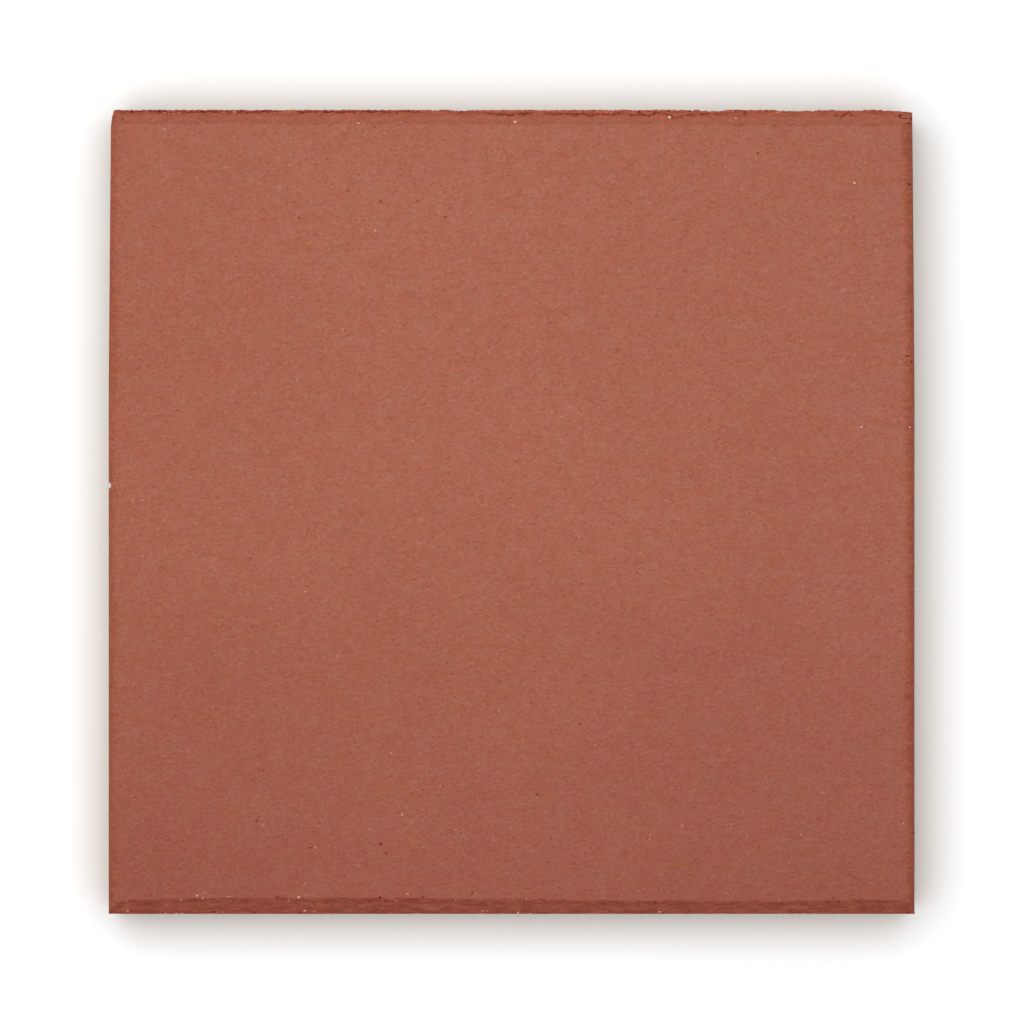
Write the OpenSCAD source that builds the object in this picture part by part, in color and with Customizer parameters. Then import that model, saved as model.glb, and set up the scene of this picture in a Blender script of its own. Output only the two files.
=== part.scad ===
// Quarry tile: a square floor tile of red clay, extruded face up, cut to length and fired.
// The walking face is up (+Z). The clay left the die along Y, so the sides at -X and +X and
// the keyed back were shaped by the die, and the ends at -Y and +Y were cut and trimmed.
// The origin is the middle of the back, on the plane that the ribs of the back rest on.

/* [Tile] */
// Width across the die-formed sides
tile_width = 150; // [90:0.1:300]
// Length between the cut ends
tile_length = 149.6; // [90:0.1:300]
// Thickness from the ribs of the back to the walking face
tile_thickness = 12.5; // [9:0.1:30]

/* [Die-formed sides] */
// Radius of the arris between a side and the walking face
face_arris_radius = 2.2; // [0.5:0.1:4]
// Radius of the arris between a side and the back
back_arris_radius = 1; // [0.2:0.1:2]

/* [Cut ends] */
// Width of the trimmed bevel, seen from above
bevel_width = 2.45; // [0.5:0.05:6]
// Depth of the trimmed bevel below the walking face
bevel_depth = 1.6; // [0.3:0.1:4]

/* [Keyed back] */
// Number of mortar keys across the back, even so that a rib is in the middle
key_count = 10; // [4:2:12]
// Share of the back that the mouths of the keys take up
key_share = 0.4; // [0.2:0.01:0.45]
// Depth of a key
key_depth = 1.2; // [0.4:0.1:2]
// How far a key widens under each of its lips
key_undercut = 0.6; // [0:0.1:1]

/* [Broken corners] */
// Length along the side -X of the sliver lost at its corner with the end +Y
side_sliver_length = 3.7; // [0.5:0.1:10]
// Depth of that sliver into the side
side_sliver_depth = 1.1; // [0.2:0.1:4]
// Length along the end +Y of the sliver lost at its corner with the side +X
end_sliver_length = 3.4; // [0.5:0.1:10]
// Depth of that sliver into the end
end_sliver_depth = 0.6; // [0.2:0.1:4]

/* [Hidden] */
$fn = 64;
fired_clay = "#AA6752";
key_pitch = tile_width / key_count;
key_mouth = key_pitch * key_share;
face_level = tile_thickness;
bevel_foot = tile_thickness - bevel_depth;
end_y = tile_length / 2;
side_x = tile_width / 2;
// How far a cutter runs past the surface that it cuts
overrun = 1;

// Outline that the die gives the clay, its back without the keys. Drawn in X and Z.
module die_outline() {
    lower = back_arris_radius;
    upper = face_arris_radius;
    translate([-side_x, lower])
        square([tile_width, tile_thickness - lower - upper]);
    translate([-side_x + lower, 0])
        square([tile_width - 2 * lower, tile_thickness - upper]);
    translate([-side_x + upper, lower])
        square([tile_width - 2 * upper, tile_thickness - lower]);
    for (side = [-1, 1]) {
        translate([side * (side_x - upper), face_level - upper])
            circle(r = upper);
        translate([side * (side_x - lower), lower])
            circle(r = lower);
    }
}

// One mortar key: a dovetail that is narrow at its mouth, so that set mortar can't pull out.
module key_outline() {
    root = key_mouth / 2 + key_undercut;
    polygon([
        [-key_mouth / 2, 0],
        [-root, key_depth],
        [root, key_depth],
        [key_mouth / 2, 0],
        [key_mouth / 2, -overrun],
        [-key_mouth / 2, -overrun]
    ]);
}

// The whole outline of the column that leaves the die, with its keys
module keyed_outline() {
    difference() {
        die_outline();
        for (k = [0 : key_count - 1])
            translate([(k + 0.5) * key_pitch - side_x, 0])
                key_outline();
    }
}

// The column of clay, laid along Y at the length that it is cut to
module clay_column() {
    translate([0, end_y, 0])
        rotate([90, 0, 0])
            linear_extrude(tile_length)
                keyed_outline();
}

// What the trimming of both ends leaves, seen from the side and as wide as the tile
module trimmed_ends() {
    translate([-side_x - overrun, 0, 0])
        rotate([90, 0, 90])
            linear_extrude(tile_width + 2 * overrun)
                polygon([
                    [-end_y, 0],
                    [end_y, 0],
                    [end_y, bevel_foot],
                    [end_y - bevel_width, face_level],
                    [-end_y + bevel_width, face_level],
                    [-end_y, bevel_foot]
                ]);
}

// A sliver broken off a corner: along_x and along_y are its legs from the corner at
// side * X and +Y, and it runs through the whole thickness
module broken_sliver(side, along_x, along_y) {
    translate([side * side_x, end_y, -overrun])
        linear_extrude(tile_thickness + 2 * overrun)
            polygon([
                [-side * along_x, 0],
                [-side * along_x, overrun],
                [side * overrun, overrun],
                [side * overrun, -along_y],
                [0, -along_y]
            ]);
}

module quarry_tile() {
    color(fired_clay)
        difference() {
            intersection() {
                clay_column();
                trimmed_ends();
            }
            broken_sliver(-1, side_sliver_depth, side_sliver_length);
            broken_sliver(1, end_sliver_length, end_sliver_depth);
        }
}

quarry_tile();
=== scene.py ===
"""The looks of a red clay quarry tile: its torn, trimmed and dragged surfaces, its fired clay,
and the pale floor and soft light that it lies in."""

import math

import bpy
import numpy as np
from bpy.props import FloatProperty, FloatVectorProperty, IntProperty, PointerProperty
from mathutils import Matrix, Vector


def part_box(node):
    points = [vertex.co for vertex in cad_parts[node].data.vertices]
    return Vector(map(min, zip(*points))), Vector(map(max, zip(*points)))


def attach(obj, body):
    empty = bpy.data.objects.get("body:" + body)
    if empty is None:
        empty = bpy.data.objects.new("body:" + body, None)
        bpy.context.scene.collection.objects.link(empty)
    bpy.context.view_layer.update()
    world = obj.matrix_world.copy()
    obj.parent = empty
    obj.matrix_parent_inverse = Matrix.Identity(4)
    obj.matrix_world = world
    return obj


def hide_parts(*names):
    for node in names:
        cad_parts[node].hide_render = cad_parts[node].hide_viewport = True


bl_info = {
    "name": "Quarry Tile",
    "version": (1, 0, 0),
    "blender": (4, 5, 0),
    "location": "3D View > Sidebar > Quarry Tile",
    "description": "Makes an extruded and fired floor tile of red clay, and the light it lies in",
    "category": "Add Mesh",
}

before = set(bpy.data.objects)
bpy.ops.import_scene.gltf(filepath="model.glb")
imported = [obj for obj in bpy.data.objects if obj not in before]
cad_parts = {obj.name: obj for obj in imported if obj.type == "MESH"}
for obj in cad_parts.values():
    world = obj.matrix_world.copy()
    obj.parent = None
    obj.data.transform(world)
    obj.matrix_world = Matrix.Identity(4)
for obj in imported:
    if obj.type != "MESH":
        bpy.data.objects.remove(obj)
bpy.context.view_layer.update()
NODE = "quarry_tile"
LOW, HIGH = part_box(NODE)
MM = 0.001


# ---------------------------------------------------------------- sizes and colours


def length_property(name, default, description, least=0):
    """A length that a user can change."""
    return FloatProperty(name=name, description=description, default=default, min=least, unit="LENGTH")


def colour_property(name, default, description):
    """A colour that a user can change."""
    return FloatVectorProperty(
        name=name, description=description, default=default, min=0, max=1, subtype="COLOR"
    )


class TileShape(bpy.types.PropertyGroup):
    width: length_property("Width", HIGH.x - LOW.x, "Width across the die-formed sides", 90 * MM)
    length: length_property("Length", HIGH.y - LOW.y, "Length between the cut ends", 90 * MM)
    thickness: length_property(
        "Thickness", HIGH.z - LOW.z, "Thickness from the ribs of the back to the walking face", 9 * MM
    )
    face_arris: length_property(
        "Face arris", 2.2 * MM, "Radius of the arris between a side and the walking face", 0.5 * MM
    )
    back_arris: length_property(
        "Back arris", 1 * MM, "Radius of the arris between a side and the back", 0.2 * MM
    )
    bevel_width: length_property(
        "Bevel width", 2.45 * MM, "Width of the bevel along a cut end, seen from above", 0.5 * MM
    )
    bevel_depth: length_property(
        "Bevel depth", 1.6 * MM, "Depth of that bevel below the walking face", 0.3 * MM
    )
    key_count: IntProperty(
        name="Keys",
        description="Number of mortar keys across the back",
        default=10,
        min=4,
    )
    key_share: FloatProperty(
        name="Key share",
        description="Share of the back that the mouths of the keys take up",
        default=0.4,
        min=0.2,
        max=0.45,
        subtype="FACTOR",
    )
    key_depth: length_property("Key depth", 1.2 * MM, "Depth of a mortar key", 0.4 * MM)
    key_undercut: length_property(
        "Key undercut", 0.6 * MM, "How far a key widens under each of its lips"
    )


class Wear(bpy.types.PropertyGroup):
    end_draw: length_property("End draw", 0.4 * MM, "How far the sides are drawn in at the far end")
    crease_shift: length_property(
        "Crease shift", 0.5 * MM, "How far the near crease may stand from where the bevel is set"
    )
    crease_sway: length_property(
        "Crease sway", 0.3 * MM, "How far the lines where the ends are trimmed waver"
    )
    face_swell: length_property(
        "Face swell", 0.06 * MM, "Depth of the slow hollows in the walking face"
    )
    face_peel: length_property(
        "Face peel", 0.06 * MM, "Depth of the small hollows in the walking face"
    )
    trim_drag: length_property(
        "Trim drag", 0.2 * MM, "Depth of the marks that trimming leaves on the bevels"
    )
    foot_tears: length_property(
        "Foot tears", 0.35 * MM, "Depth of the tears along the foot of a bevel"
    )
    wire_drag: length_property(
        "Wire drag", 0.3 * MM, "Depth of the grooves that the cutting wire leaves on an end"
    )
    die_lines: length_property(
        "Die lines", 0.08 * MM, "Depth of the lines that the die leaves along the sides and the back"
    )
    tear_depth: length_property(
        "Lip tears", 0.15 * MM, "Depth of the cracks behind the torn lip of the far end"
    )
    chip_depth: length_property("Chips", 0.25 * MM, "Depth of the deepest chip in the torn lip")


class ClayFinish(bpy.types.PropertyGroup):
    skin: colour_property(
        "Skin", (0.423, 0.136, 0.082), "Colour of the walking face, paled by the fine dust of the clay"
    )
    trimmed: colour_property(
        "Trimmed clay", (0.402, 0.0925, 0.0425), "Colour of the clay where it was cut or torn"
    )
    grog: colour_property("Grog", (0.72, 0.33, 0.23), "Colour of the pale grains in the clay")
    # Painted shade: the pit colour darkens the bottoms of pits and cracks, and the small tears, where
    # shade falls
    pit: colour_property("Pits", (0.19, 0.027, 0.011), "Colour at the bottom of a pit or crack")
    lime: colour_property("Lime", (0.86, 0.80, 0.72), "Colour of the few spots of burnt lime")
    grain_depth: length_property("Grain depth", 0.56 * MM, "Depth of the fine grain of the surface")


class Studio(bpy.types.PropertyGroup):
    lens: FloatProperty(
        name="Lens",
        description="Focal length of the camera, in millimetres",
        default=120,
        min=20,
    )
    field: length_property(
        "Field", 190.58 * MM, "Width of the view at the height of the silhouette", 100 * MM
    )
    key_power: FloatProperty(
        name="Key light",
        description="Power of the soft light over the far left corner of the tile",
        default=1.3,
        min=0,
        unit="POWER",
    )
    sky: FloatProperty(
        name="Sky",
        description="Strength of the light straight overhead, which fades towards the horizon",
        default=1.2,
        min=0,
    )
    lean: FloatVectorProperty(
        name="Lean",
        description="The way that the light from the sky leans, for each unit upwards",
        default=(-0.065, 0.05, 1),
        subtype="XYZ",
    )
    floor_white: FloatProperty(
        name="Floor white",
        description="How bright the camera sees the open floor, where 1 is white",
        default=1.03,
        min=0,
    )
    floor_dusk: FloatProperty(
        name="Floor dusk",
        description="How much darker the camera sees the floor where the tile shuts it in",
        default=0.4,
        min=0,
        max=1,
        subtype="FACTOR",
    )
    near_dusk: colour_property(
        "Near dusk", (1, 0.865, 0.66), "Tint of the floor where the tile shuts it in, at the near end"
    )
    far_dusk: colour_property("Far dusk", (0.98, 0.99, 0.83), "The same tint at the far end")
    dusk_reach: length_property("Dusk reach", 12 * MM, "How far from the tile the floor is darker")


# ---------------------------------------------------------------- selecting by place


def only(piece):
    """Selects one object and nothing else."""
    if bpy.context.object and bpy.context.object.mode != "OBJECT":
        bpy.ops.object.mode_set(mode="OBJECT")
    bpy.ops.object.select_all(action="DESELECT")
    piece.select_set(True)
    bpy.context.view_layer.objects.active = piece


def listed(parts, name, width, kind=float):
    """One property of all of a mesh's vertices, edges, faces or face corners, one row each."""
    values = np.empty(len(parts) * width, kind)
    parts.foreach_get(name, values)
    return values.reshape(-1, width)


def corners(piece):
    """The places of a mesh's vertices, one row each."""
    return listed(piece.data.vertices, "co", 3)


def ends_of_edges(piece):
    """The places of the two ends of each edge."""
    return corners(piece)[listed(piece.data.edges, "vertices", 2, int)]


def select(piece, kind, chosen):
    """Selects the vertices, edges or faces that chosen marks, and opens edit mode."""
    only(piece)
    bpy.ops.object.mode_set(mode="EDIT")
    bpy.ops.mesh.select_mode(type={"vertices": "VERT", "edges": "EDGE", "polygons": "FACE"}[kind])
    bpy.ops.mesh.select_all(action="DESELECT")
    bpy.ops.object.mode_set(mode="OBJECT")
    getattr(piece.data, kind).foreach_set("select", np.asarray(chosen, bool))
    bpy.ops.object.mode_set(mode="EDIT")


def select_faces(piece, test):
    """Selects the faces for which test(centre, normal) is true."""
    chosen = [test(face.center, face.normal) for face in piece.data.polygons]
    select(piece, "polygons", chosen)


def select_rim(piece):
    """Selects the open edge of a mesh."""
    only(piece)
    bpy.ops.object.mode_set(mode="EDIT")
    bpy.ops.mesh.select_mode(type="EDGE")
    bpy.ops.mesh.select_all(action="DESELECT")
    bpy.ops.mesh.select_non_manifold(use_wire=False, use_multi_face=False, use_verts=False)


def ease(low, high, value):
    """0 below low, 1 above high, and smooth between them."""
    share = np.clip((value - low) / (high - low), 0, 1)
    return share * share * (3 - 2 * share)


# ---------------------------------------------------------------- the slab

# Cells of the face across and along, how much finer the ends are, and cells of the back each way
COLUMNS = 160
ROWS = 160
FINE = 4
BACK_CELLS = 80
# How far inside the flat of the face its grid ends, and then each closer outline up to its edge
SHOULDERS = (1.5 * MM, 1 * MM, 0.6 * MM, 0.3 * MM, 0)
# The soft crease between the face and a bevel: its width and its depth
CREASE_SOFT = 0.2 * MM
CREASE_DEPTH = 0.12 * MM
# How hollow a bevel is, where 1 is straight
BEVEL_HOLLOW = 1.15
# How far the flat of the back runs before its grid begins
BACK_RIM = 0.8 * MM


def end_reach(shape, sunk):
    """How far in from a cut end its bevel stands, at a depth below the face."""
    slope = max(0, 1 - (sunk / shape.bevel_depth) ** BEVEL_HOLLOW)
    soft = max(0, 1 - math.sqrt(sunk / CREASE_DEPTH))
    return shape.bevel_width * slope + CREASE_SOFT * soft


def arris_rings(shape):
    """Half width, half length and height of each outline below the face, down to the back."""
    across, along = shape.width / 2, shape.length / 2
    upper, lower = shape.face_arris, shape.back_arris
    steps, walls, under = 14, 8, 3
    depths = {upper * (1 - math.cos(math.pi / 2 * step / steps)) for step in range(1, steps + 1)}
    for sunk in sorted(depths | {shape.bevel_depth}):
        side = upper - math.sqrt(upper**2 - (upper - sunk) ** 2)
        yield across - side, along - end_reach(shape, sunk), shape.thickness - sunk
    for step in range(1, walls + 1):
        share = step / walls
        yield across, along, (shape.thickness - upper) * (1 - share) + lower * share
    for step in range(1, under + 1):
        turn = math.pi / 2 * step / under
        yield across - lower * (1 - math.cos(turn)), along, lower * (1 - math.sin(turn))
    yield across - lower - BACK_RIM, along - BACK_RIM, 0


def press_slab(shape):
    """The slab, its die-rounded sides and its trimmed ends, without the keys of the back."""
    flat_across = shape.width / 2 - shape.face_arris
    flat_along = shape.length / 2 - end_reach(shape, 0)
    across, along = flat_across - SHOULDERS[0], flat_along - SHOULDERS[0]
    height = shape.thickness
    bpy.ops.object.select_all(action="DESELECT")
    bpy.ops.mesh.primitive_grid_add(
        x_subdivisions=COLUMNS, y_subdivisions=ROWS, size=1, location=(0, 0, height)
    )
    slab = bpy.context.object
    slab.scale = (2 * across, 2 * along, 1)
    bpy.ops.object.transform_apply(location=True, rotation=True, scale=True)
    shoulders = [(flat_across - inset, flat_along - inset, height) for inset in SHOULDERS[1:]]
    select_rim(slab)
    for number, (wide, long, level) in enumerate([*shoulders, *arris_rings(shape)]):
        bpy.ops.mesh.extrude_region_move()
        bpy.ops.transform.resize(value=(wide / across, long / along, 1), center_override=(0, 0, 0))
        bpy.ops.transform.translate(value=(0, 0, level - height))
        across, along, height = wide, long, level
        if number == 0:
            split_ends(slab, along)
            select_rim(slab)
    fill_back(slab, across, along)
    return slab


def split_ends(slab, along):
    """Divides the open edge finely where it runs across the ends."""
    bpy.ops.object.mode_set(mode="OBJECT")
    ends = ends_of_edges(slab)
    select(slab, "edges", (np.abs(np.abs(ends[:, :, 1]) - along) < MM / 100).all(1))
    bpy.ops.mesh.subdivide(number_cuts=FINE - 1, ngon=False)


def fill_back(slab, across, along):
    """Closes the back with a coarser grid than the face has."""
    bpy.ops.object.mode_set(mode="OBJECT")
    place = corners(slab)
    low = place[:, 2] < MM / 100
    counts = (COLUMNS * FINE, ROWS)
    dropped = np.zeros(len(place), bool)
    for axis, reach, other, limit in ((0, across, 1, along), (1, along, 0, across)):
        line = low & (np.abs(np.abs(place[:, other]) - limit) < MM / 100)
        index = np.round((place[:, axis] / reach + 1) / 2 * counts[axis])
        dropped |= line & (index % (counts[axis] // BACK_CELLS) != 0)
    select(slab, "vertices", dropped)
    bpy.ops.mesh.dissolve_verts()
    select_rim(slab)
    bpy.ops.mesh.fill_grid(span=BACK_CELLS)
    bpy.ops.object.mode_set(mode="OBJECT")


# ---------------------------------------------------------------- the keyed back


def key_cutter(shape):
    """What the die leaves out for one mortar key, at the middle of the tile."""
    mouth = shape.width / shape.key_count * shape.key_share
    root = mouth + 2 * shape.key_undercut
    soft = 0.25 * MM
    past = 1 * MM
    steps = 60
    bpy.ops.object.select_all(action="DESELECT")
    bpy.ops.mesh.primitive_cube_add(size=1, location=(0, 0, shape.key_depth / 2 + soft / 2))
    cutter = bpy.context.object
    cutter.scale = (mouth, shape.length + 2 * past, shape.key_depth - soft)
    bpy.ops.object.transform_apply(location=True, rotation=True, scale=True)
    select_faces(cutter, lambda centre, normal: normal.z > 0.5)
    bpy.ops.transform.resize(value=(root / mouth, 1, 1), center_override=(0, 0, 0))
    select_faces(cutter, lambda centre, normal: normal.z < -0.5)
    for drop, widen in ((soft, 2 * soft), (past, 0)):
        bpy.ops.mesh.extrude_region_move(TRANSFORM_OT_translate={"value": (0, 0, -drop)})
        bpy.ops.transform.resize(value=(1 + widen / mouth, 1, 1), center_override=(0, 0, 0))
    for step in range(1, steps):
        bpy.ops.mesh.select_all(action="SELECT")
        place = (step / steps - 0.5) * (shape.length + 2 * past)
        bpy.ops.mesh.bisect(plane_co=(0, place, 0), plane_no=(0, 1, 0))
    bpy.ops.object.mode_set(mode="OBJECT")
    return cutter


def carve(slab, cutter):
    """Takes the cutter out of the slab, and removes the cutter."""
    only(slab)
    bpy.ops.object.modifier_add(type="BOOLEAN")
    carving = slab.modifiers[-1]
    carving.operation = "DIFFERENCE"
    carving.solver = "EXACT"
    carving.object = cutter
    bpy.ops.object.modifier_apply(modifier=carving.name)
    bpy.data.objects.remove(cutter)


def cut_keys(slab, shape):
    """Runs the mortar keys along the back."""
    cutter = key_cutter(shape)
    pitch = shape.width / shape.key_count
    only(cutter)
    bpy.ops.transform.translate(value=(pitch * (1 - shape.key_count) / 2, 0, 0))
    bpy.ops.object.modifier_add(type="ARRAY")
    row = cutter.modifiers[-1]
    row.count = shape.key_count
    row.use_relative_offset = False
    row.use_constant_offset = True
    row.constant_offset_displace = (pitch, 0, 0)
    bpy.ops.object.modifier_apply(modifier=row.name)
    carve(slab, cutter)


# ---------------------------------------------------------------- broken corners

# The length of each sliver, and their thicknesses at the corner
SLIVER = 3.4 * MM
SIDE_SLIVER = 0.68 * MM
END_SLIVER = 0.6 * MM


def broken_rock(name, centre, size, turn, cuts, rough):
    """A rough lump that breaks a piece off the tile, turned about the vertical."""
    bpy.ops.object.select_all(action="DESELECT")
    bpy.ops.mesh.primitive_cube_add(size=1, location=(0, 0, 0))
    rock = bpy.context.object
    rock.scale = size
    bpy.ops.object.transform_apply(location=False, rotation=False, scale=True)
    for axis in range(3):
        normal = [0, 0, 0]
        normal[axis] = 1
        bpy.ops.object.mode_set(mode="EDIT")
        for step in range(1, cuts[axis]):
            bpy.ops.mesh.select_all(action="SELECT")
            place = [0, 0, 0]
            place[axis] = (step / cuts[axis] - 0.5) * size[axis]
            bpy.ops.mesh.bisect(plane_co=place, plane_no=normal)
        bpy.ops.object.mode_set(mode="OBJECT")
    pattern = bpy.data.textures.new(name, "CLOUDS")
    pattern.noise_basis = "IMPROVED_PERLIN"
    pattern.noise_scale = 1.1 * MM
    pattern.noise_depth = 3
    bpy.ops.object.modifier_add(type="DISPLACE")
    press = rock.modifiers[-1]
    press.texture = pattern
    press.strength = rough
    bpy.ops.object.modifier_apply(modifier=press.name)
    rock.rotation_euler = (0, 0, turn)
    rock.location = centre
    bpy.ops.object.transform_apply(location=True, rotation=True, scale=True)
    return rock


def break_corners(slab, shape):
    """Breaks a sliver off the left side and one off the end, at the two far corners."""
    across, along, middle = shape.width / 2, shape.length / 2, shape.thickness / 2
    deep, long, tall = 4 * MM, 9 * MM, shape.thickness + 2 * MM
    slant = math.atan2(SIDE_SLIVER, SLIVER)
    line = Vector((SIDE_SLIVER / 2 - across, along - SLIVER / 2, middle))
    centre = line + Vector((-math.cos(slant), math.sin(slant), 0)) * deep / 2
    size, cuts = (deep, long, tall), (2, 30, 40)
    carve(slab, broken_rock("side_break", centre, size, -slant, cuts, 0.12 * MM))
    slant = math.atan2(END_SLIVER, SLIVER)
    line = Vector((across - SLIVER / 2, along - END_SLIVER / 2, middle))
    centre = line + Vector((math.sin(slant), math.cos(slant), 0)) * deep / 2
    size, cuts = (long, deep, tall), (30, 2, 40)
    carve(slab, broken_rock("end_break", centre, size, -slant, cuts, 0.25 * MM))


# ---------------------------------------------------------------- where a surface is


def distances(slab, shape):
    """Millimetres below the face, in from a cut end and in from a side, for each vertex."""
    place = corners(slab) / MM
    below = shape.thickness / MM - place[:, 2]
    end = shape.length / MM / 2 - np.abs(place[:, 1])
    side = shape.width / MM / 2 - np.abs(place[:, 0])
    return place, below, end, side


def soft_line(points, x):
    """The height at each x of a soft line through those points."""
    height = np.full(len(x), float(points[0][1]))
    for (left, low), (right, high) in zip(points, points[1:]):
        height += (high - low) * ease(left, right, x)
    return height


# The width of the near bevel: x and width, in millimetres
NEAR_BEVEL = (
    (-74.8, 1.1),
    (-71.4, 2.45),
    (-60, 2.9),
    (-28, 2.95),
    (0, 2.7),
    (20, 2.45),
    (54, 2.3),
    (68, 2.6),
    (72.9, 2.5),
    (74.8, 1.5),
)

# The cracks behind the torn lip: how strong, and the x of each bend and how far in it is
TEARS = (
    (0.8, ((-73, 0.35), (-66, 0.25), (-61, 0.4), (-55, 0.3), (-49, 0.45), (-43, 0.25))),
    (0.85, ((-40, 0.5), (-36, 0.3), (-31, 0.45), (-27, 0.3), (-22, 0.4), (-17, 0.3))),
    (0.9, ((-4.8, 0.7), (-2.1, 0.95), (-0.3, 1), (1.6, 0.8), (3.9, 0.65))),
    (0.9, ((6.2, 0.6), (8.1, 0.95), (10, 0.75), (11.8, 1), (13.3, 0.75), (15, 1.15), (16.5, 0.85))),
    (0.8, ((16.6, 0.85), (18.7, 1), (20.2, 0.7))),
    (0.85, ((21.9, 1), (22.8, 1.2), (24, 0.75), (25.4, 1.15), (26.8, 0.9), (27.7, 0.6))),
    (0.8, ((28.2, 0.6), (29.4, 1.15), (30.4, 1.6), (31.8, 1.25), (34, 0.9), (37.4, 0.75))),
    (0.6, ((37.4, 0.75), (40.3, 0.6))),
    (0.8, ((43.2, 0.6), (43.6, 1.1))),
    (0.8, ((52.4, 0.7), (52.8, 1.1))),
    (0.9, ((59.9, 0.9), (61, 1.3), (61.6, 1.2), (62.5, 0.5))),
    (0.9, ((62.8, 0.6), (63.6, 1.5))),
    (0.9, ((71.4, 1), (71.9, 1.4), (73, 1))),
)

# The chips in the torn lip: the first and last x, and share of the deepest
CHIPS = (
    (-11.5, -7, 0.5),
    (-3, -1.6, 0.4),
    (34.8, 40.2, 0.85),
    (49, 57, 0.75),
    (60, 66, 0.45),
    (69, 74, 0.7),
)

# Where pale crumbs crowd: the place on the face, how far they reach, and how closely they lie
CRUMBS = (
    (-56.7, -71.4, 2, 0.6),
    (-52.4, -71.7, 1.6, 0.7),
    (-38.2, -71.6, 2, 0.7),
    (-72, -71.6, 1, 0.5),
    (52.5, -71, 5, 0.35),
    (40.8, -69.4, 2, 0.3),
    (-61, 72.5, 5, 0.3),
    (-51.8, 74, 0.6, 0.9),
    (-42.3, 73.9, 0.6, 0.9),
    (-67.5, 71.5, 2.5, 0.45),
    (-73, 58.9, 0.6, 0.9),
    (-51.3, 69.4, 0.6, 0.8),
    (-4, 72.4, 3.5, 0.5),
    (0.6, 71.6, 1.8, 0.6),
    (60.2, 72.1, 1.2, 0.6),
    (66.9, 71.7, 1.2, 0.6),
    (64, 15.5, 2, 0.3),
)


def from_tears(place, shape):
    """Millimetres in from the line of the cracks, and how strong they are, for each vertex."""
    x, line = zip(*(bend for _, bends in TEARS for bend in bends))
    across, inset = place[:, 0], shape.length / MM / 2 - place[:, 1]
    torn = np.zeros(len(place))
    for share, bends in TEARS:
        torn += share * ((across > bends[0][0]) & (across <= bends[-1][0]))
    torn *= place[:, 2] > (shape.thickness - 2.2 * MM) / MM
    return inset - np.interp(across, x, line), torn


def mark_places(slab, shape):
    """Keeps each point's distances in the mesh, for the clay's colours to follow."""
    place, below, end, side = distances(slab, shape)
    sunk = np.clip(below, 0, shape.thickness / MM)
    cut = end - [end_reach(shape, depth * MM) / MM for depth in sunk]
    tear, torn = from_tears(place, shape)
    crumbs = np.zeros(len(place))
    for x, y, reach, share in CRUMBS:
        away = np.hypot(place[:, 0] - x, place[:, 1] - y)
        crumbs += share * np.exp(-((away / reach) ** 2)) * (below < 1.8)
    marks = {"below": below, "end": end, "side": side, "cut": cut}
    marks |= {"tear": tear, "torn": torn, "crumbs": crumbs}
    for name, values in marks.items():
        mark = slab.data.attributes.new(name, "FLOAT", "POINT")
        mark.data.foreach_set("value", values)


def regions(slab, shape, wear):
    """How much each vertex belongs to each part of the surface, from 0 to 1, by millimetres."""
    place, below, end, side = distances(slab, shape)
    x, y = place[:, 0], place[:, 1]
    foot, crease = shape.bevel_depth / MM, shape.bevel_width / MM
    far, left = y > 0, x < 0
    top = ease(0.3, 0.0, below)
    back = ease(0.4, 0.0, place[:, 2])
    inner = ease(foot + 0.5, foot + 3, below) * ease(0.2, 0.6, end) * ease(0.2, 0.6, side)
    bevel = ease(crease + 0.1, crease - 0.5, end) * ease(foot + 0.4, foot, below)
    wall = np.exp(-np.maximum(end, 0) / 0.4) * (1 - top) * (1 - back)
    lip = ease(1.3, 0.2, end) * ease(foot + 0.5, foot, below)
    trim = ease(crease + 1.9, crease + 0.2, end) * ease(0.0, crease, end)
    trim *= ease(foot + 0.1, 0, below)
    flank = ease(0.5, 0.05, side) * ease(0.8, 2.0, below) * (1 - back) * ease(0.0, 0.4, end)
    shift = (soft_line(NEAR_BEVEL, x) - crease) / (wear.crease_shift / MM)
    drawn = np.clip((y - 22) / 51, 0, 1) ** 1.2 * ease(12, 2, side)
    tear, torn = from_tears(place, shape)
    chipped = np.zeros(len(x))
    for start, stop, share in CHIPS:
        chipped += share * ease(start, start + 0.7, x) * ease(stop, stop - 0.9, x)
    return {
        "face": top * ease(0.0, 1.2, np.minimum(end - crease, side - 1.5)),
        "trim": trim,
        "wider": trim * ~far * np.clip(shift, 0, 1),
        "narrower": trim * ~far * np.clip(-shift, 0, 1),
        "bevel": bevel,
        "near_lip": lip * ~far,
        "far_lip": lip * far,
        "chips": chipped * far * np.exp(-np.maximum(end, 0) / 0.6) * ease(6, 3, below),
        "far_wall": wall * far,
        "near_wall": wall * ~far * ease(foot, foot + 2.5, below),
        "left": flank * left,
        "right": flank * ~left,
        "draw_left": drawn * left,
        "draw_right": drawn * ~left,
        "back": np.maximum(back, inner),
        "tear": np.exp(-((tear / 0.2) ** 2)) * torn,
    }


# ---------------------------------------------------------------- relief

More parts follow.
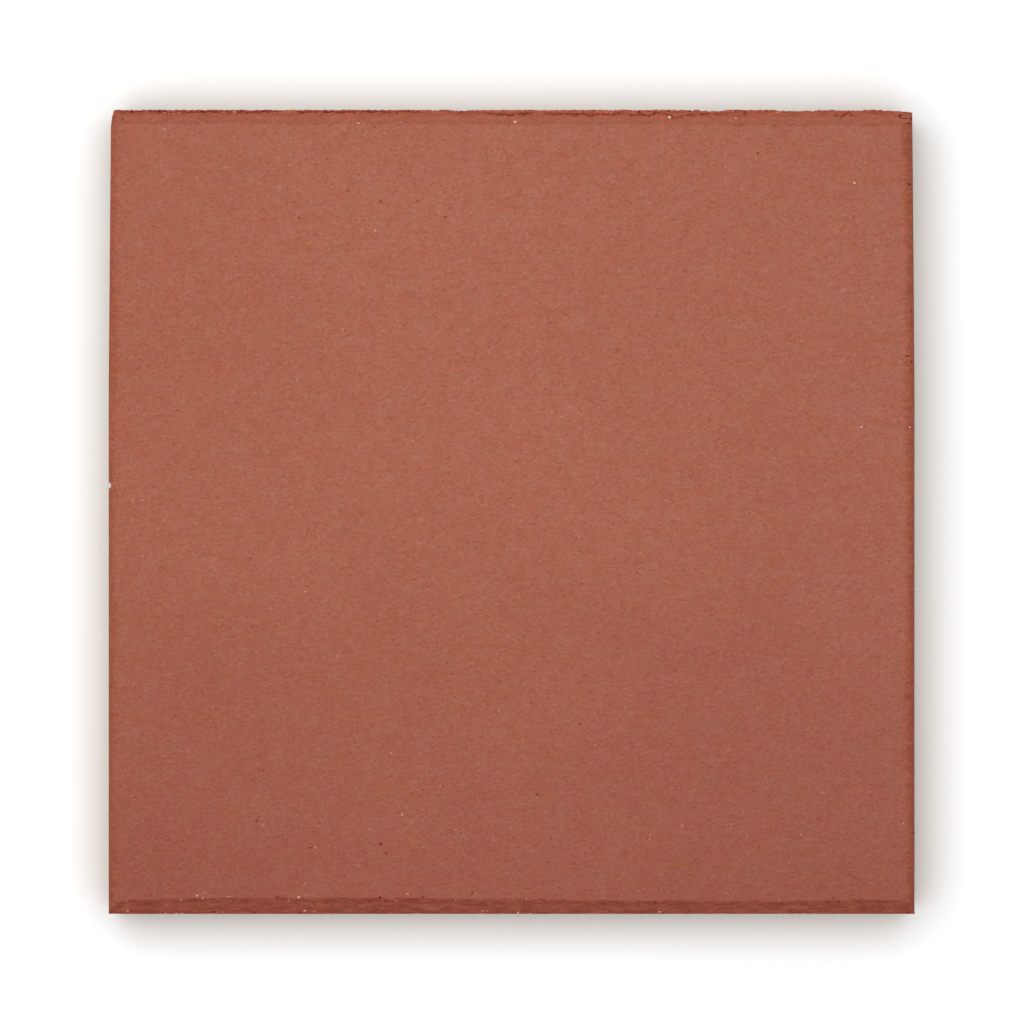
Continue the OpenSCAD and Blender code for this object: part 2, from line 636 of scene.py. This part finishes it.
# Each pass: part of the surface, depth, cells of its pattern in millimetres across, along and
# upwards, roughness steps, the grey levels of no and of full depth, and the way it moves. A part
# with no pattern moves by its whole depth.
RELIEF = (
    ("draw_left", "end_draw", None, 0, None, "+X"),
    ("draw_right", "end_draw", None, 0, None, "-X"),
    ("wider", "crease_shift", None, 0, None, "+Y"),
    ("narrower", "crease_shift", None, 0, None, "-Y"),
    ("trim", "crease_sway", (3.5, 900, 900), 2, (1, 0), "Y"),
    ("face", "face_swell", (11, 11, 11), 1, (1, 0), "-Z"),
    ("face", "face_peel", (2.3, 2.3, 2.3), 1, (1, 0), "-Z"),
    ("bevel", "trim_drag", (4, 0.8, 0.8), 3, (1, 0), "-Z"),
    ("near_lip", "foot_tears", (1.1, 0.8, 0.9), 3, (0.6, 0.3), "-Z"),
    ("far_lip", "foot_tears", (0.8, 0.6, 0.5), 4, (0.6, 0.3), "-Z"),
    ("chips", "chip_depth", None, 0, None, "-Y"),
    ("far_wall", "wire_drag", (0.5, 900, 7), 3, (0.6, 0.15), "-Y"),
    ("near_wall", "wire_drag", (0.5, 900, 7), 3, (0.7, 0.15), "+Y"),
    ("far_wall", "foot_tears", (1.2, 900, 0.9), 4, (0.42, 0.25), "-Y"),
    ("near_wall", "foot_tears", (2.4, 900, 1.1), 4, (0.5, 0.25), "+Y"),
    ("left", "die_lines", (900, 60, 0.7), 2, (1, 0), "+X"),
    ("right", "die_lines", (900, 60, 0.7), 2, (1, 0), "-X"),
    ("back", "die_lines", (0.9, 60, 900), 2, (1, 0), "+Z"),
    ("tear", "tear_depth", None, 0, None, "-Z"),
)


def pattern_of(part, steps, levels):
    """A cloudy pattern that is white at the first grey level and black at the second."""
    pattern = bpy.data.textures.new(part, "CLOUDS")
    pattern.noise_basis = "IMPROVED_PERLIN"
    pattern.noise_scale = 1
    pattern.noise_depth = steps
    pattern.use_color_ramp = True
    for stop, level, grey in zip(pattern.color_ramp.elements, sorted(levels), (0, 1)):
        stop.position = level
        stop.color = (grey, grey, grey, 1)
    return pattern


def press_relief(slab, wear, weights):
    """Sinks each part of the surface by its pattern, and fixes the result in the mesh."""
    for part, weight in weights.items():
        group = slab.vertex_groups.new(name=part)
        for index in np.flatnonzero(weight > 0.004).tolist():
            group.add((index,), float(weight[index]), "REPLACE")
    for number, (part, depth, cells, steps, levels, way) in enumerate(RELIEF):
        # Each pattern starts elsewhere, so that no two line up
        bpy.ops.object.select_all(action="DESELECT")
        bpy.ops.object.empty_add(location=(number * 7.3 * MM, number * 3.1 * MM, 0))
        lattice = bpy.context.object
        only(slab)
        bpy.ops.object.modifier_add(type="DISPLACE")
        press = slab.modifiers[-1]
        press.vertex_group = part
        press.direction = way[-1]
        press.strength = getattr(wear, depth) * (1 if way[0] == "+" else -1)
        press.mid_level = 0
        if cells:
            lattice.scale = [cell * MM for cell in cells]
            press.texture = pattern_of(part, steps, levels)
            press.texture_coords = "OBJECT"
            press.texture_coords_object = lattice
            press.strength = -press.strength
            press.mid_level = 0.5 if way == "Y" else 1
        bpy.ops.object.modifier_apply(modifier=press.name)
        bpy.data.objects.remove(lattice)
    slab.vertex_groups.clear()


def mend(slab):
    """Dissolves the edges that the relief has left with no length."""
    select(slab, "vertices", np.ones(len(slab.data.vertices)))
    bpy.ops.mesh.dissolve_degenerate(threshold=MM / 500)
    bpy.ops.object.mode_set(mode="OBJECT")


# The flat map: the share of its width that the face, the back and the height of a wall take up,
# and where the back, each pair of walls and the keys start
FACE_SHARE = 0.74
BACK_SHARE = 0.24
WALL_SHARE = 0.062
BACK_START = 0.755
WALL_STARTS = (0.755, 0.825)
KEYS_START = 0.895


def spread_flat(slab, shape):
    """Lays the surface out flat: most of it for the walking face, then the walls, keys and back."""
    mesh = slab.data
    owner = np.repeat(np.arange(len(mesh.polygons)), listed(mesh.polygons, "loop_total", 1, int)[:, 0])
    centre = listed(mesh.polygons, "center", 3)[owner]
    normal = listed(mesh.polygons, "normal", 3)[owner]
    place = corners(slab)[listed(mesh.loops, "vertex_index", 1, int)[:, 0]]
    size = (shape.width, shape.length, shape.thickness)
    across, along, up = (place / size + (0.5, 0.5, 0)).T
    wide, long = 0.005 + FACE_SHARE * across, 0.005 + FACE_SHARE * along
    first_wall, second_wall = (start + WALL_SHARE * up for start in WALL_STARTS)
    back = [BACK_START + BACK_SHARE * share for share in (across, along)]

    pitch = shape.width / shape.key_count
    root = pitch * shape.key_share / 2 + shape.key_undercut
    key = np.clip(np.floor(centre[:, 0] / pitch + shape.key_count / 2), 0, shape.key_count - 1)
    middle = (key + 0.5 - shape.key_count / 2) * pitch
    flank = np.sign(centre[:, 0] - middle) * (root + shape.key_depth - place[:, 2])
    reach = np.where(np.abs(normal[:, 2]) > 0.8, place[:, 0] - middle, flank)
    reach = np.clip(0.5 + reach / (root + shape.key_depth) / 2, 0, 1)
    half = shape.key_count / 2
    slot = KEYS_START + 0.1 / half * (key % half + 0.85 * reach)

    top = (normal[:, 2] > 0.25) & (centre[:, 2] > shape.thickness - shape.face_arris)
    inner = (centre[:, 2] > 0.2 * MM) & (centre[:, 2] < shape.key_depth + 0.3 * MM)
    inner &= (np.abs(centre[:, 0] - middle) < root + 0.2 * MM) & (np.abs(normal[:, 1]) < 0.7)
    end = np.abs(normal[:, 1]) > np.abs(normal[:, 0])
    flat = np.empty((len(place), 2))
    for chosen, first, second in (
        (end & (normal[:, 1] < 0), wide, first_wall),
        (end & (normal[:, 1] >= 0), wide, second_wall),
        (~end & (normal[:, 0] < 0), first_wall, long),
        (~end & (normal[:, 0] >= 0), second_wall, long),
        (top, wide, long),
        (normal[:, 2] < -0.25, *back),
        (inner & (key < half), slot, long),
        (inner & (key >= half), wide, slot),
    ):
        flat[chosen] = np.stack((first, second), 1)[chosen]
    layer = mesh.uv_layers.new(name="OFBake")
    layer.data.foreach_set("uv", flat.ravel())


# ---------------------------------------------------------------- building materials from nodes


def node(tree, kind, inputs=None, **settings):
    """Adds a shader node. An input that is a socket is linked, and any other is set."""
    made = tree.nodes.new("ShaderNode" + kind)
    for name, value in settings.items():
        setattr(made, name, value)
    for name, value in (inputs or {}).items():
        if isinstance(value, bpy.types.NodeSocket):
            tree.links.new(value, made.inputs[name])
        else:
            made.inputs[name].default_value = value
    return made


def sums(tree, operation, *values):
    """The result of a Math node."""
    return node(tree, "Math", dict(enumerate(values)), operation=operation).outputs[0]


def span(tree, value, low, high, start=0, stop=1):
    """Takes value from low..high to start..stop, smoothly and no further."""
    inputs = dict(enumerate((value, low, high, start, stop)))
    return node(tree, "MapRange", inputs, interpolation_type="SMOOTHSTEP").outputs[0]


def blend(tree, share, first, second, kind="MIX"):
    """The second colour over the first by that share."""
    inputs = {"Factor": share}
    for name, colour in (("A", first), ("B", second)):
        plain = not isinstance(colour, bpy.types.NodeSocket)
        inputs[name] = (*colour, 1) if plain else colour
    mixed = node(tree, "Mix", inputs, data_type="RGBA", blend_type=kind)
    return mixed.outputs["Result"]


def moved(tree, place, scale, seed):
    """A place scaled by the three scales, and shifted so that patterns don't line up."""
    inputs = {"Vector": place, "Location": (seed * 17.3, seed * 5.7, seed * 11.9), "Scale": scale}
    return node(tree, "Mapping", inputs).outputs[0]


def clouds(tree, place, cells, steps=2, rough=0.5, seed=0):
    """A cloudy pattern about 0.5, whose cells have those sizes in millimetres."""
    spot = moved(tree, place, tuple(1 / cell for cell in cells), seed)
    inputs = {"Vector": spot, "Scale": 1, "Detail": steps, "Roughness": rough}
    return node(tree, "TexNoise", inputs).outputs[0]


def spread(tree, place, cell, seed=0):
    """Points scattered one to a cell: how far the nearest is in cells, and two random values of it."""
    spot = moved(tree, place, (1 / cell,) * 3, seed)
    points = node(tree, "TexVoronoi", {"Vector": spot, "Scale": 1})
    values = node(tree, "SeparateColor", {0: points.outputs["Color"]}).outputs
    return points.outputs["Distance"], values[0], values[1]


# ---------------------------------------------------------------- fired clay


class Spots:
    """Where the fired clay's patterns are, as sockets that its colour and its relief share.
    Lengths are in millimetres."""

    def __init__(self, tree):
        where = node(tree, "TexCoord").outputs["Object"]
        scaled = node(tree, "VectorMath", {0: where, "Scale": 1 / MM}, operation="SCALE")
        self.place = place = scaled.outputs[0]
        self.x, self.y, _ = node(tree, "SeparateXYZ", {0: place}).outputs
        self.below, self.end, self.side, self.cut, tear, torn, self.crumbs = (
            node(tree, "Attribute", attribute_name=name).outputs["Fac"]
            for name in ("below", "end", "side", "cut", "tear", "torn", "crumbs")
        )
        self.near = span(tree, self.y, -70, -71)
        self.tooth = clouds(tree, place, (0.6, 0.4, 0.5), 2, 0.7, 4)
        self.rough = sums(tree, "SUBTRACT", self.tooth, 0.5)
        self.slow = clouds(tree, place, (45, 38, 30), 2, 0.5, 7)
        crack = sums(tree, "ABSOLUTE", sums(tree, "MULTIPLY_ADD", self.rough, 2, tear))
        self.crack = sums(tree, "MULTIPLY", span(tree, crack, 0.23, 0.08), torn)
        self.lip = sums(tree, "MULTIPLY", span(tree, tear, 0, -0.3), torn)
        rim = sums(tree, "ABSOLUTE", sums(tree, "SUBTRACT", self.end, 2.6))
        self.rim = span(tree, rim, 1.6, 0)
        foot = span(tree, self.end, 0.9, 0.2)
        self.foot = sums(tree, "MULTIPLY", foot, span(tree, self.below, 3, 2, 0.15, 1))
        self.scatter_grains(tree)
        self.drag_marks(tree)

    def scatter_grains(self, tree):
        """Pale grains and small pits, which crowd along the creases and the feet of the bevels."""
        away, luck, kind = spread(tree, self.place, 1, 1)
        crowd = sums(tree, "MULTIPLY_ADD", self.rim, 0.15, luck)
        crowd = sums(tree, "MULTIPLY_ADD", self.foot, 0.6, crowd)
        crowd = sums(tree, "MULTIPLY_ADD", self.crumbs, 0.3, crowd)
        crowd = sums(tree, "MULTIPLY_ADD", sums(tree, "SUBTRACT", self.slow, 0.5), 0.5, crowd)
        self.luck = span(tree, crowd, 0.85, 1.15)
        size = span(tree, crowd, 0.85, 1.15, -0.02, 0.24)
        size = sums(tree, "MULTIPLY_ADD", self.foot, 0.05, size)
        inside = sums(tree, "SUBTRACT", sums(tree, "MULTIPLY_ADD", self.rough, 0.9, size), away)
        lump = span(tree, inside, -0.04, 0.04)
        pale = sums(tree, "GREATER_THAN", sums(tree, "ADD", kind, self.crumbs), 0.4)
        grog = sums(tree, "MULTIPLY", lump, pale)
        self.pits = sums(tree, "SUBTRACT", lump, grog)
        crumbs = span(tree, sums(tree, "MULTIPLY_ADD", self.crumbs, 0.2, self.tooth), 0.72, 0.76)
        self.grog = sums(tree, "MAXIMUM", grog, crumbs)

    def drag_marks(self, tree):
        """The wire's upright marks on the cut ends, and the die's level marks along the sides."""
        on_side = sums(tree, "LESS_THAN", self.side, self.end)
        cut = moved(tree, self.place, (1 / 0.5, 0, 1 / 6), 12)
        formed = moved(tree, self.place, (0, 1 / 45, 1 / 0.5), 13)
        along = node(tree, "Mix", {0: on_side, 4: cut, 5: formed}, data_type="VECTOR").outputs[1]
        inputs = {"Vector": along, "Scale": 1, "Detail": 3, "Roughness": 0.7}
        marks = node(tree, "TexNoise", inputs).outputs[0]
        wall = span(tree, self.below, 1.5, 2.2)
        rim = sums(tree, "MINIMUM", self.end, self.side)
        wall = sums(tree, "MULTIPLY", wall, span(tree, rim, 0.9, 0.3))
        self.marks = sums(tree, "MULTIPLY", sums(tree, "SUBTRACT", marks, 0.5), wall)


# How far in from the far end the seam between its bevel and the face lies, in millimetres
SEAM = 2.72

# Each spot of burnt lime: its place on the face, and half its width and length, in millimetres
LIME = (
    (29.3, 73.3, 0.22, 0.22),
    (-74.8, 4.9, 0.45, 0.5),
    (1.2, -74.6, 0.2, 0.15),
    (63.6, 61.0, 0.15, 0.15),
    (64.9, 15.7, 0.13, 0.13),
    (73.9, 15.7, 0.13, 0.13),
)

# Each small tear beside the right arris and at its far corner, in the same way; each is painted dark
# with the pit colour as its shade
SCARS = (
    (73.8, 60.8, 0.4, 0.15),
    (73.4, 28.9, 0.45, 0.2),
    (74.3, 27.9, 0.25, 0.2),
    (72.8, 73, 0.5, 0.15),
    (72.1, 73.4, 0.18, 0.45),
    (74.4, 73, 0.25, 0.35),
    (73.7, 72.1, 0.5, 0.14),
    (74.7, 71.1, 0.2, 0.5),
)


def shades(tree, value, middle, swing):
    """A tint about 1 that follows a value about that middle, by that much in red, green and blue."""
    inputs = {0: value, 1: swing, 2: tuple(1 - middle * part for part in swing)}
    return node(tree, "VectorMath", inputs, operation="MULTIPLY_ADD").outputs[0]


def tinted(tree, colour, tint):
    """A colour multiplied by a tint."""
    return node(tree, "VectorMath", {0: colour, 1: tint}, operation="MULTIPLY").outputs[0]


def dusty_skin(tree, spots, finish, falloff_shade_and_tone, patches):
    """The colour of the walking face, mottled, and darker towards the near end: partly the clay's own
    tone, partly painted shade of light that falls off there.
    """
    rust = clouds(tree, spots.place, (4, 2.5, 2.5), 2, 0.7, 21)
    fleck = span(tree, spots.tooth, 0.6, 0.75)
    dull = span(tree, spots.tooth, 0.38, 0.25)
    skin = tuple(finish.skin)
    for pattern, middle, swing in (
        (spots.tooth, 0.5, (0.53, 0.82, 0.99)),
        (fleck, 0, (0.19, 0.31, 0.37)),
        (dull, 0, (-0.14, -0.22, -0.27)),
        (patches, 0.5, (-0.1, 0.36, 0.36)),
        (rust, 0.5, (0, 0.1, 0.6)),
        (spots.slow, 0.5, (0.05, 0.13, 0.15)),
        (spots.x, 0, (0, 0.00015, 0.0005)),
        # Painted shade: the face is darker towards its left and right sides and lighter along its
        # middle
        (spots.side, 37, (0.0006, 0.0007, 0.0004)),
        (spots.crumbs, 0, (0.06, 0.12, 0.14)),
    ):
        skin = tinted(tree, skin, shades(tree, pattern, middle, swing))
    return blend(tree, falloff_shade_and_tone, skin, (0.83, 0.74, 0.77), "MULTIPLY")


def bare_clay(tree, spots, finish, falloff_shade_and_tone, patches, streak):
    """The colour of the clay where it was cut, torn or worn, with the streaks of the trimming."""
    # Painted shade: the near bevel is darker just under its crease and at its foot, and lighter across
    # its middle
    hollow = span(tree, sums(tree, "ABSOLUTE", sums(tree, "SUBTRACT", spots.end, 1)), 0.3, 1.1)
    bare = tuple(finish.trimmed)
    for pattern, middle, swing in (
        (span(tree, streak, 0.3, 0.7), 0.5, (0.45, 0.56, 0.56)),
        (spots.marks, 0, (0.5, 0.65, 0.75)),
        (patches, 0.5, (0.25, 0.5, 0.5)),
        (spots.tooth, 0.5, (0.45, 0.6, 0.7)),
        (spots.lip, 0, (0.12, 0.2, 0.24)),
        (sums(tree, "MULTIPLY", hollow, spots.near), 0.3, (-0.07, -0.07, -0.07)),
    ):
        bare = tinted(tree, bare, shades(tree, pattern, middle, swing))
    # Painted shade, partly the clay's own tone: darker towards the near end
    return blend(tree, falloff_shade_and_tone, bare, (0.9, 0.86, 0.9), "MULTIPLY")


def clay_colour(tree, spots, finish):
    """The clay's colour: dusty on the face, redder where it is bare, with grains, pits and cracks."""
    patches = clouds(tree, spots.place, (4, 3, 3), 3, 0.7, 8)
    streak = clouds(tree, spots.place, (2.6, 0.75, 0.75), 3, 0.7, 11)
    # Painted shade, partly the clay's own tone: the clay grows darker and browner towards the near
    # end, where the light falls off
    falloff_shade_and_tone = span(tree, sums(tree, "MULTIPLY_ADD", spots.slow, 40, spots.y), 40, -66)
    skin = dusty_skin(tree, spots, finish, falloff_shade_and_tone, patches)
    bare = bare_clay(tree, spots, finish, falloff_shade_and_tone, patches, streak)

    # The bare clay shows on the bevels, as far as the seam, and where the side arrises are worn
    ragged = sums(tree, "SUBTRACT", streak, 0.5)
    soon = span(tree, sums(tree, "MULTIPLY_ADD", ragged, 0.4, spots.cut), 0.25, 0)
    late = span(tree, sums(tree, "MULTIPLY_ADD", ragged, 1.2, spots.below), -0.1, 1.3)
    band = sums(tree, "MULTIPLY_ADD", spots.x, -0.003, sums(tree, "SUBTRACT", spots.end, SEAM))
    band = sums(tree, "MULTIPLY_ADD", ragged, 2, band)
    late = sums(tree, "MAXIMUM", late, span(tree, band, 0.4, 0.1, 0, 0.4))
    share = node(tree, "Mix", {"Factor": spots.near, "A": late, "B": soon}).outputs["Result"]
    # Painted shade: the near bevel, which faces away from the light, is darkened
    bare = blend(tree, sums(tree, "MULTIPLY", spots.near, soon), bare, (0.87, 0.89, 0.97), "MULTIPLY")
    edge = sums(tree, "MULTIPLY_ADD", sums(tree, "SUBTRACT", spots.slow, 0.5), 3, spots.side)
    edge = sums(tree, "MULTIPLY_ADD", span(tree, spots.x, 60, 74), -0.5, edge)
    worn = span(tree, sums(tree, "MULTIPLY_ADD", spots.rough, 1.5, edge), 2.6, 0.6, 0, 0.8)
    bare = blend(tree, worn, bare, (0.94, 0.98, 1), "MULTIPLY")
    share = sums(tree, "MAXIMUM", share, worn)
    share = sums(tree, "MAXIMUM", share, span(tree, spots.below, 1.6, 2.4))
    colour = blend(tree, share, skin, bare)
    # Painted shade: a dark, broken line along the crease of the far end, stronger towards the right
    seam_shade = span(tree, sums(tree, "ABSOLUTE", band), 0.35, 0.05)
    seam_shade = sums(tree, "MULTIPLY", seam_shade, span(tree, spots.y, 70, 71))
    seam_shade = sums(tree, "MULTIPLY", seam_shade, span(tree, spots.x, -10, 70, 0.6, 1))
    colour = blend(tree, seam_shade, colour, (0.87, 0.82, 0.82), "MULTIPLY")

    glow = sums(tree, "MULTIPLY_ADD", spots.luck, 0.6, 0.4)
    crumb = tinted(tree, tuple(finish.grog), shades(tree, spots.crumbs, 0, (0.25, 0.6, 0.7)))
    colour = blend(tree, sums(tree, "MULTIPLY", spots.grog, glow), colour, crumb)
    # Painted shade: the pits and cracks are darkened with the pit colour
    colour = blend(tree, sums(tree, "MULTIPLY", spots.pits, glow), colour, tuple(finish.pit))
    colour = blend(tree, sums(tree, "MULTIPLY", spots.crack, 0.95), colour, tuple(finish.pit))
    # Painted shade: the small tears beside the right arris are painted dark
    colour = dabs(tree, spots, colour, SCARS, tuple(finish.pit))
    return dabs(tree, spots, colour, LIME, tuple(finish.lime))


def dabs(tree, spots, colour, places, paint):
    """Adds small ragged spots of another colour to the face and its arrises."""
    nearest = 9
    for x, y, wide, long in places:
        inputs = {
            "Vector": spots.place,
            "Location": (-x / wide, -y / long, 0),
            "Scale": (1 / wide, 1 / long, 0),
        }
        spot = node(tree, "Mapping", inputs).outputs[0]
        away = node(tree, "VectorMath", {0: spot}, operation="LENGTH").outputs["Value"]
        nearest = sums(tree, "MINIMUM", away, nearest)
    nearest = sums(tree, "MULTIPLY_ADD", spots.rough, 1.5, nearest)
    share = sums(tree, "MULTIPLY", span(tree, nearest, 1.15, 0.85), span(tree, spots.below, 2.2, 1.9))
    return blend(tree, share, colour, paint)


def clay_relief(tree, spots, finish):
    """The clay's fine relief, as the height of its surface in metres."""
    height = sums(tree, "MULTIPLY", spots.tooth, finish.grain_depth)
    for pattern, depth in (
        (spots.pits, -0.25),
        (spots.crack, -0.15),
        (spots.grog, 0.22),
        (spots.marks, 0.5),
    ):
        height = sums(tree, "MULTIPLY_ADD", pattern, finish.grain_depth * depth, height)
    return height


def fired_clay(finish):
    """Matt red clay, fired through: a dusty skin over a redder, rougher body."""
    material = bpy.data.materials.new("fired_clay")
    material.use_nodes = True
    tree = material.node_tree
    spots = Spots(tree)
    shader = tree.nodes["Principled BSDF"]
    deep = sums(tree, "MAXIMUM", spots.crack, spots.pits)
    tree.links.new(span(tree, deep, 0, 0.8, 0.3, 0), shader.inputs["Specular IOR Level"])
    tree.links.new(clay_colour(tree, spots, finish), shader.inputs["Base Color"])
    tree.links.new(span(tree, spots.tooth, 0.3, 0.7, 0.82, 0.94), shader.inputs["Roughness"])
    relief = node(tree, "Bump", {"Distance": 1, "Height": clay_relief(tree, spots, finish)})
    tree.links.new(relief.outputs[0], shader.inputs["Normal"])
    return material


# ---------------------------------------------------------------- stage

KEY_PLACE = Vector((-0.105, 0.095, 0.5))
KEY_SIZE = 0.7
CAMERA_SHIFT = (0.07 * MM, -0.05 * MM)
SENSOR = 36


def lay_floor(studio):
    """A plain floor, which the camera sees white but for the tile's soft shadow, rendered and deepened
    by painted shadow.
    """
    bpy.ops.object.select_all(action="DESELECT")
    bpy.ops.mesh.primitive_plane_add(size=4, location=(0, 0, 0))
    floor = bpy.context.object
    floor.name = "floor"
    material = bpy.data.materials.new("pale_floor")
    material.use_nodes = True
    tree = material.node_tree
    tree.nodes.clear()
    # Painted shadow: occlusion darkens and tints the floor that the camera sees near the tile, over
    # its rendered shadow
    shut = node(tree, "AmbientOcclusion", {"Distance": studio.dusk_reach}).outputs["AO"]
    tints = (studio.near_dusk, studio.far_dusk)
    ends = (tuple((1 - studio.floor_dusk) * part for part in tint) for tint in tints)
    place = node(tree, "TexCoord").outputs["Object"]
    _, y, _ = node(tree, "SeparateXYZ", {0: place}).outputs
    dark = blend(tree, span(tree, y, LOW.y, HIGH.y), *ends)
    seen = blend(tree, shut, dark, (0.98, 1, 1))
    # The open floor whitens outwards, so that it meets the sky without a line
    away = node(tree, "VectorMath", {0: place}, operation="LENGTH")
    white = span(tree, away.outputs["Value"], 0.11, 0.5, studio.floor_white, 1.5)
    seen = node(tree, "VectorMath", {0: seen, "Scale": white}, operation="SCALE").outputs[0]
    camera = node(tree, "LightPath").outputs["Is Camera Ray"]
    colour = blend(tree, camera, (0.8, 0.8, 0.8), seen)
    surface = node(tree, "BsdfDiffuse", {"Color": colour}).outputs[0]
    node(tree, "OutputMaterial", {"Surface": surface})
    floor.data.materials.append(material)


def light_sky(studio):
    """Even light from above that fades towards the horizon; the camera sees plain white."""
    world = bpy.data.worlds.new("sky")
    bpy.context.scene.world = world
    world.use_nodes = True
    tree = world.node_tree
    tree.nodes.clear()
    way = node(tree, "TexCoord").outputs["Generated"]
    high = node(tree, "VectorMath", {0: way, 1: tuple(studio.lean)}, operation="DOT_PRODUCT")
    glow = sums(tree, "MAXIMUM", sums(tree, "MULTIPLY", high.outputs["Value"], studio.sky), 0)
    camera = node(tree, "LightPath").outputs["Is Camera Ray"]
    strength = node(tree, "Mix", {"Factor": camera, "A": glow, "B": 1.0}).outputs["Result"]
    light = node(tree, "Background", {"Color": (1, 1, 1, 1), "Strength": strength}).outputs[0]
    node(tree, "OutputWorld", {"Surface": light})


def hang_key(studio):
    """A large soft light over the far left corner."""
    bpy.ops.object.light_add(type="AREA", location=KEY_PLACE)
    key = bpy.context.object
    key.name = "key"
    key.data.shape = "SQUARE"
    key.data.size = KEY_SIZE
    key.data.energy = studio.key_power
    key.visible_camera = False
    aim = Vector((0, 0, HIGH.z)) - KEY_PLACE
    key.rotation_euler = aim.to_track_quat("-Z", "Y").to_euler()


def set_camera(studio, silhouette):
    """A camera that looks straight down, with its field measured at the silhouette's height."""
    height = silhouette + studio.field * studio.lens / SENSOR
    bpy.ops.object.camera_add(location=(*CAMERA_SHIFT, height), rotation=(0, 0, 0))
    camera = bpy.context.object
    camera.data.lens = studio.lens
    camera.data.sensor_width = SENSOR
    bpy.context.scene.camera = camera


class QUARRY_OT_tile(bpy.types.Operator):
    """Makes the fired tile"""

    bl_idname = "quarry.tile"
    bl_label = "Tile"

    def execute(self, context):
        shape = context.scene.tile_shape
        slab = press_slab(shape)
        cut_keys(slab, shape)
        break_corners(slab, shape)
        slab.name = "fired_tile"
        mark_places(slab, shape)
        wear = context.scene.tile_wear
        press_relief(slab, wear, regions(slab, shape, wear))
        mend(slab)
        spread_flat(slab, shape)
        bpy.ops.object.shade_smooth_by_angle(angle=math.radians(30))
        slab.data.materials.append(fired_clay(context.scene.clay_finish))
        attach(slab, "root")
        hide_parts(NODE)
        return {"FINISHED"}


class QUARRY_OT_stage(bpy.types.Operator):
    """Lays the floor, and sets the light and the camera"""

    bl_idname = "quarry.stage"
    bl_label = "Stage"

    def execute(self, context):
        studio = context.scene.studio
        lay_floor(studio)
        light_sky(studio)
        hang_key(studio)
        set_camera(studio, HIGH.z - context.scene.tile_shape.face_arris)
        context.scene.view_settings.view_transform = "Standard"
        return {"FINISHED"}


class QUARRY_PT_panel(bpy.types.Panel):
    bl_label = "Quarry Tile"
    bl_idname = "QUARRY_PT_panel"
    bl_space_type = "VIEW_3D"
    bl_region_type = "UI"
    bl_category = "Quarry Tile"

    def draw(self, context):
        for group in GROUPS:
            box = self.layout.box()
            values = getattr(context.scene, group)
            for name in values.bl_rna.properties.keys():
                if name not in ("rna_type", "name"):
                    box.prop(values, name)
        for operator in (QUARRY_OT_tile, QUARRY_OT_stage):
            self.layout.operator(operator.bl_idname)


GROUPS = {"tile_shape": TileShape, "tile_wear": Wear, "clay_finish": ClayFinish, "studio": Studio}
CLASSES = (*GROUPS.values(), QUARRY_OT_tile, QUARRY_OT_stage, QUARRY_PT_panel)


def register():
    for cls in CLASSES:
        bpy.utils.register_class(cls)
    for name, group in GROUPS.items():
        setattr(bpy.types.Scene, name, PointerProperty(type=group))


def unregister():
    for name in GROUPS:
        delattr(bpy.types.Scene, name)
    for cls in reversed(CLASSES):
        bpy.utils.unregister_class(cls)


def main():
    register()
    bpy.ops.quarry.tile()
    bpy.ops.quarry.stage()


if __name__ == "__main__":
    main()
